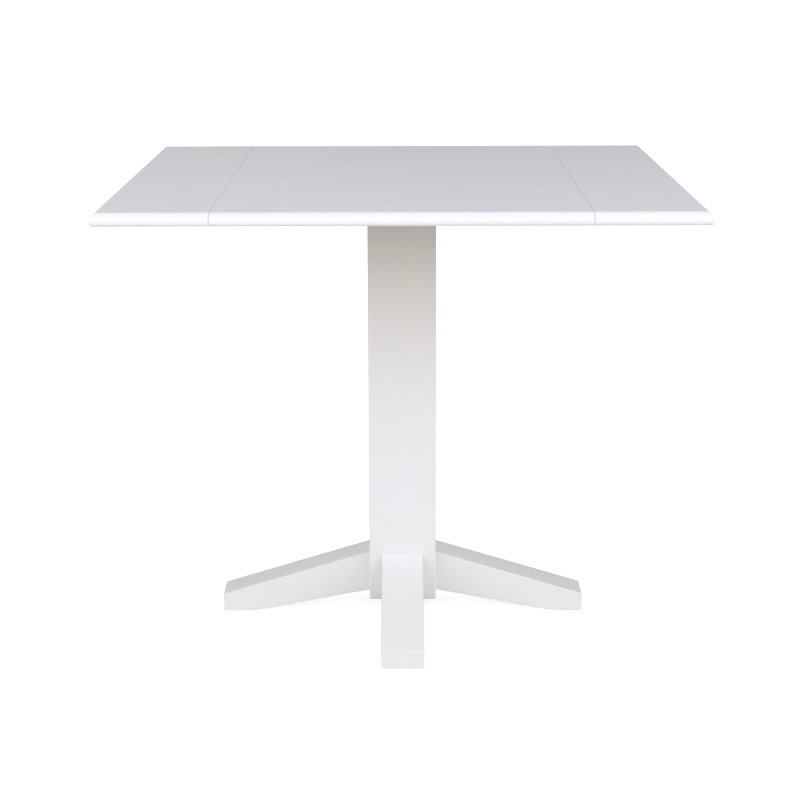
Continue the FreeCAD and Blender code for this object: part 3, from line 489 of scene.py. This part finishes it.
def moulded_edge():
    """The top's edge as (inset from the widest line, height), from above to below."""
    shoulder = TOP_HIGH.z - EDGE_SHOULDER
    lower_rise = shoulder - TOP_LOW.z
    upper_radius = (EDGE_INSET ** 2 + EDGE_SHOULDER ** 2) / (2 * EDGE_INSET)
    lower_radius = (EDGE_TUCK ** 2 + lower_rise ** 2) / (2 * EDGE_TUCK)
    upper_turn = math.asin(EDGE_SHOULDER / upper_radius)
    lower_turn = math.asin(lower_rise / lower_radius)
    upper = arc((upper_radius, shoulder), upper_radius, math.pi - upper_turn, math.pi, EDGE_STEPS)
    lower = arc((lower_radius, shoulder), lower_radius, math.pi, math.pi + lower_turn,
                EDGE_STEPS // 2)
    on_top = (EDGE_INSET * 2, TOP_HIGH.z)
    below = (EDGE_INSET * 2, TOP_LOW.z)
    return (softened(on_top, upper[0], upper[1], ARRIS, ARRIS_STEPS) + upper[1:] + lower[1:-1]
            + softened(lower[-2], lower[-1], below, ARRIS, ARRIS_STEPS))


def holes_from_below(nodes):
    """Blind holes up into the top: nodes are (node, radius) pairs."""
    holes = []
    for node, radius in nodes:
        for low, high in separate_boxes(node):
            place = ((low.x + high.x) / 2, (low.y + high.y) / 2, TOP_LOW.z)
            depth = high.z - TOP_LOW.z + SCREW_SPARE
            holes.append((place, (0, 0, 1), straight(radius, depth)))
    return holes


def make_top_panel(material):
    half = -TOP_LOW.y
    edge = moulded_edge()
    front = [(inset - half, height) for inset, height in edge]
    rear = [(half - inset, height) for inset, height in reversed(edge)]
    solid = prism(front + rear, "X", TOP_LOW.x, TOP_HIGH.x)
    ease(solid, SEAM_EASE, SEAM_STEPS, lambda first, last: same(first.x, last.x))
    piece = object_from(solid, "painted_top_panel")
    bore(piece, holes_from_below([("screws_top", SCREW_RADIUS), ("cleat_screws", CLEAT_SCREW_RADIUS),
                                  ("top_inserts", TOP_INSERT_RADIUS)]))
    finish_piece(piece, "top_panel", material)


def leaf_ring(seam, outer, half, inset, height):
    """The leaf's outline at one height, from its front seam corner round to the rear one."""
    radius = max(CORNER_RADIUS - inset, ARRIS)
    reach = outer - inset - radius
    side = half - inset - radius
    corners = (arc((reach, -side), radius, -math.pi / 2, 0, CORNER_STEPS)
               + arc((reach, side), radius, 0, math.pi / 2, CORNER_STEPS))
    flat = [(seam, inset - half)] + corners + [(seam, half - inset)]
    return [(x, y, height) for x, y in flat]


def make_leaf(side_name, material):
    """The right-hand leaf, or the same turned half round for the left."""
    low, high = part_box("leaf_right")
    solid = bmesh.new()
    rings = [[solid.verts.new(point) for point in leaf_ring(low.x, high.x, high.y, inset, height)]
             for inset, height in moulded_edge()]
    for upper, lower in zip(rings, rings[1:]):
        for index in range(len(upper) - 1):
            solid.faces.new((upper[index], lower[index], lower[index + 1], upper[index + 1]))
    solid.faces.new(rings[0])
    solid.faces.new(reversed(rings[-1]))
    solid.faces.new([ring[0] for ring in reversed(rings)] + [ring[-1] for ring in rings])
    bmesh.ops.recalc_face_normals(solid, faces=solid.faces)
    ease(solid, SEAM_EASE, SEAM_STEPS, lambda first, last: same(first.x, low.x) and same(last.x, low.x))
    if SIDES[side_name] < 0:
        bmesh.ops.rotate(solid, verts=solid.verts, matrix=Matrix.Rotation(math.pi, 3, "Z"))
    piece = object_from(solid, f"painted_leaf_{side_name}")
    bore(piece, holes_from_below([(f"screws_leaf_{side_name}", SCREW_RADIUS)]))
    finish_piece(piece, f"leaf_{side_name}", material)


# ---------------------------------------------------------------- column

BOARD_THICKNESS = 18 * MM
COLUMN_RADIUS = 3 * MM
COLUMN_STEPS = 5
BOARD_EASE = 1 * MM            # at the ends of a board
BOARD_STEPS = 2
MITRE_EASE = 0.2 * MM          # along the joint between two boards
MITRE_STEPS = 1
FOOT_BOLT_BORE = 4.25 * MM


def make_column_board(name, angle, material):
    """One of four mitred boards, drawn as the front one and turned about the column."""
    low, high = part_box("column_board_front")
    half = -low.y
    inner = half - BOARD_THICKNESS
    middle = half - COLUMN_RADIUS
    right = arc((middle, -middle), COLUMN_RADIUS, -math.pi / 2, -math.pi / 4,
                COLUMN_STEPS)
    left = [(-x, y) for x, y in reversed(right)]
    outline = left + right + [(inner, -inner), (-inner, -inner)]
    solid = prism(outline, "Z", low.z, high.z)
    ease(solid, BOARD_EASE, BOARD_STEPS, lambda first, last: same(first.z, low.z)
         and same(last.z, low.z) and max(first.y, last.y) < -middle)
    corner = right[-1][0]
    ease(solid, MITRE_EASE, MITRE_STEPS, lambda first, last: not same(first.z, last.z)
         and same(abs(first.x), corner) and same(abs(last.x), corner))
    bmesh.ops.rotate(solid, verts=solid.verts, matrix=Matrix.Rotation(math.radians(angle), 3, "Z"))
    piece = object_from(solid, f"painted_column_board_{name}")
    outward = Vector((math.sin(math.radians(angle)), -math.cos(math.radians(angle)), 0))
    holes = []
    for bolt_low, bolt_high in separate_boxes("foot_bolts"):
        middle_of_bolt = (bolt_low + bolt_high) / 2
        if middle_of_bolt.dot(outward) > inner / 2:
            start = outward * inner + Vector((0, 0, middle_of_bolt.z))
            holes.append((start, outward, straight(FOOT_BOLT_BORE, BOARD_THICKNESS + CUT_SPARE)))
    bore(piece, holes)
    finish_piece(piece, f"column_board_{name}", material)


# ---------------------------------------------------------------- feet

FOOT_PAD = 50 * MM             # length of the flat that bears on the floor
FOOT_TIP = 31.5 * MM           # height of the tip
FOOT_UNDER = 39.5 * MM         # height of the lower face at the column
FOOT_EASE = 1.5 * MM
FOOT_STEPS = 4
GLIDE_RECESS_RADIUS = 11 * MM
GLIDE_RECESS = 2.5 * MM        # how deep the glide's disc is let in
GLIDE_NAIL_RADIUS = 3 * MM
GLIDE_NAIL = 14 * MM           # how deep the glide's nail goes
INSERT_RADIUS = 6 * MM


def make_foot(name, angle, material):
    """A tapered plank on edge, drawn as the right-hand one and turned about the column."""
    low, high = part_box("foot_right")
    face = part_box("column_board_right")[1].x
    heel = high.x - FOOT_PAD
    outline = [(face, FOOT_UNDER), (heel, low.z), (high.x, low.z), (high.x, FOOT_TIP), (face, high.z)]
    solid = prism(outline, "Y", low.y, high.y)
    ease(solid, FOOT_EASE, FOOT_STEPS,
         lambda first, last: not (same(first.x, face) and same(last.x, face))
         and not (same(first.x, heel) and same(last.x, heel)))
    turn = Matrix.Rotation(math.radians(angle - 90), 3, "Z")
    bmesh.ops.rotate(solid, verts=solid.verts, matrix=turn)
    piece = object_from(solid, f"painted_foot_{name}")
    outward = turn @ Vector((1, 0, 0))
    glide_place = outward * (high.x - FOOT_PAD / 2) + Vector((0, 0, low.z))
    holes = [(glide_place, (0, 0, 1), straight(GLIDE_RECESS_RADIUS, GLIDE_RECESS)
              + [(GLIDE_RECESS, GLIDE_NAIL_RADIUS), (GLIDE_NAIL, GLIDE_NAIL_RADIUS)])]
    for insert_low, insert_high in separate_boxes("foot_inserts"):
        middle = (insert_low + insert_high) / 2
        if middle.dot(outward) > face:
            depth = max(abs(value) for value in (insert_high - insert_low).to_2d())
            start = outward * face + Vector((0, 0, middle.z))
            holes.append((start, outward, straight(INSERT_RADIUS, depth)))
    bore(piece, holes)
    finish_piece(piece, f"foot_{name}", material)


# ---------------------------------------------------------------- cleats and mounting plate

CLEAT_BEVEL = 12 * MM
CLEAT_EASE = 1 * MM
CLEAT_STEPS = 3
CLEAT_SCREW_HEAD = 4.5 * MM
PLATE_CORNER = 14 * MM
PLATE_STEPS = 8
PLATE_SCREW_HEAD = 5.1 * MM
PLATE_SCREW_RADIUS = 2.6 * MM
TOP_BOLT_BORE = 3.25 * MM


def countersunk(place, direction, head, radius, depth):
    """A hole right through with a 90 degree countersink where it starts."""
    return (place, direction, straight(head, 0) + [(head - radius, radius),
                                                   (depth + CUT_SPARE, radius)])


def make_cleat(name, material):
    low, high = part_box(f"cleat_{name}")
    outline = [(low.x + CLEAT_BEVEL, low.z), (high.x - CLEAT_BEVEL, low.z),
               (high.x, low.z + CLEAT_BEVEL), (high.x, high.z), (low.x, high.z),
               (low.x, low.z + CLEAT_BEVEL)]
    solid = prism(outline, "Y", low.y, high.y)
    ease(solid, CLEAT_EASE, CLEAT_STEPS,
         lambda first, last: min(first.z, last.z) < high.z - CLEAT_EASE)
    piece = object_from(solid, f"wooden_cleat_{name}")
    holes = []
    for screw_low, screw_high in separate_boxes("cleat_screws"):
        middle = (screw_low + screw_high) / 2
        if low.y < middle.y < high.y:
            holes.append(countersunk((middle.x, middle.y, low.z), (0, 0, 1), CLEAT_SCREW_HEAD,
                                     CLEAT_SCREW_RADIUS, high.z - low.z))
    bore(piece, holes)
    finish_piece(piece, f"cleat_{name}", material)


def make_mounting_plate(material):
    low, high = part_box("mounting_plate")
    middle = high.x - PLATE_CORNER
    outline = []
    for quarter in range(4):
        start = quarter * math.pi / 2
        sign_x = 1 if quarter in (0, 3) else -1
        sign_y = 1 if quarter in (0, 1) else -1
        outline += arc((sign_x * middle, sign_y * middle), PLATE_CORNER, start,
                       start + math.pi / 2, PLATE_STEPS)
    solid = prism(outline, "Z", low.z, high.z)
    ease(solid, CLEAT_EASE, CLEAT_STEPS,
         lambda first, last: same(first.z, low.z) and same(last.z, low.z))
    piece = object_from(solid, "wooden_mounting_plate")
    holes = []
    for screw_low, screw_high in separate_boxes("plate_screws"):
        centre = (screw_low + screw_high) / 2
        holes.append(countersunk((centre.x, centre.y, high.z), (0, 0, -1), PLATE_SCREW_HEAD,
                                 PLATE_SCREW_RADIUS, high.z - low.z))
    for bolt_low, bolt_high in separate_boxes("top_bolts"):
        centre = (bolt_low + bolt_high) / 2
        holes.append(((centre.x, centre.y, low.z), (0, 0, 1),
                      straight(TOP_BOLT_BORE, high.z - low.z + CUT_SPARE)))
    bore(piece, holes)
    finish_piece(piece, "mounting_plate", material)


def make_wooden_pieces():
    top = painted_top("Y")
    make_top_panel(top)
    for side_name in SIDES:
        make_leaf(side_name, top)
    paint = {axis: painted_wood(axis) for axis in "XYZ"}
    for name, angle in COLUMN_SIDES.items():
        make_column_board(name, angle, paint["Z"])
        make_foot(name, angle, paint["Y" if name in ("front", "rear") else "X"])
    bare = sealed_wood("X")
    for name in ("front", "rear"):
        make_cleat(name, bare)
    make_mounting_plate(bare)


# ---------------------------------------------------------------- studio

FLOOR_HALF = 30.0
FLOOR_COLOUR = colour(0.7, 0.7, 0.7)
FLOOR_ROUGHNESS = 0.9
FLOOR_SHINE = 0.1
FLOOR_GLOW = (0.78, 1.0)       # at the table, and far behind it
FLOOR_FADE = (0.6, 4.0)        # how far from the table the glow starts and stops growing
SKY = colour(1.0, 0.95, 0.94)
SKY_STRENGTH = 0.34
SKY_SEEN = 1.2
LIGHT_DISTANCE = 4.5
SOFTBOXES = [                  # name, elevation, turn from the front, size, power, tint
    ("left", 28, -60, (5.0, 3.1), 123, (0.90, 0.95, 1.00)),
    ("right", 28, 60, (5.0, 3.1), 138, (0.83, 0.90, 1.00)),
    ("low_front", 10, 0, (3.0, 2.0), 19, (1.00, 0.80, 0.45)),
    ("front", 27, 0, (3.0, 2.0), 27, (0.99, 0.91, 1.00)),
    ("overhead", 84, 0, (2.5, 2.5), 8, (0.62, 0.66, 1.00)),
    ("back_left", 12, -165, (2.0, 1.5), 2.0, (0.99, 1.00, 1.00)),
]


def make_floor():
    """A plain floor that looks white itself but throws only its own share of light back."""
    mesh = bpy.data.meshes.new("floor")
    corners = [(x * FLOOR_HALF, y * FLOOR_HALF, 0) for x, y in ((-1, -1), (1, -1), (1, 1), (-1, 1))]
    mesh.from_pydata(corners, [], [(0, 1, 2, 3)])
    floor = bpy.data.objects.new("floor", mesh)
    scene.collection.objects.link(floor)
    finish = Finish("floor_white")
    distance = finish.add("ShaderNodeVectorMath", {0: finish.own_place()}, operation="LENGTH")
    glow = finish.spread(distance.outputs["Value"], *FLOOR_FADE, *FLOOR_GLOW)
    seen = finish.add("ShaderNodeLightPath", {}).outputs["Is Camera Ray"]
    mesh.materials.append(finish.surface({
        "Base Color": FLOOR_COLOUR,
        "Roughness": FLOOR_ROUGHNESS,
        "Specular IOR Level": FLOOR_SHINE,
        "Emission Color": colour(1, 1, 1),
        "Emission Strength": finish.maths("MULTIPLY", seen, glow),
    }))


def make_sky():
    """White walls: bright where they are seen, dim as light."""
    world = bpy.data.worlds.new("studio")
    scene.world = world
    world.use_nodes = True
    tree = world.node_tree
    background = tree.nodes["Background"]
    background.inputs["Color"].default_value = SKY
    paths = tree.nodes.new("ShaderNodeLightPath")
    strength = tree.nodes.new("ShaderNodeMapRange")
    strength.inputs["To Min"].default_value = SKY_STRENGTH
    strength.inputs["To Max"].default_value = SKY_SEEN
    tree.links.new(paths.outputs["Is Camera Ray"], strength.inputs["Value"])
    tree.links.new(strength.outputs["Result"], background.inputs["Strength"])


def make_softbox(name, elevation, turn, size, power, tint):
    data = bpy.data.lights.new(name, "AREA")
    data.shape = "RECTANGLE"
    data.size, data.size_y = size
    data.color = tint
    data.energy = power
    light = bpy.data.objects.new(name, data)
    scene.collection.objects.link(light)
    rise = math.radians(elevation)
    around = math.radians(turn)
    outward = Vector((math.cos(rise) * math.sin(around), -math.cos(rise) * math.cos(around),
                      math.sin(rise)))
    light.location = CENTRE + outward * LIGHT_DISTANCE
    light.rotation_euler = (-outward).to_track_quat("-Z", "Y").to_euler()


# ---------------------------------------------------------------- the whole scene

make_camera()
make_floor()
make_sky()
for softbox in SOFTBOXES:
    make_softbox(*softbox)
finish_packed_nodes()
make_wooden_pieces()
scene.view_settings.view_transform = "Standard"
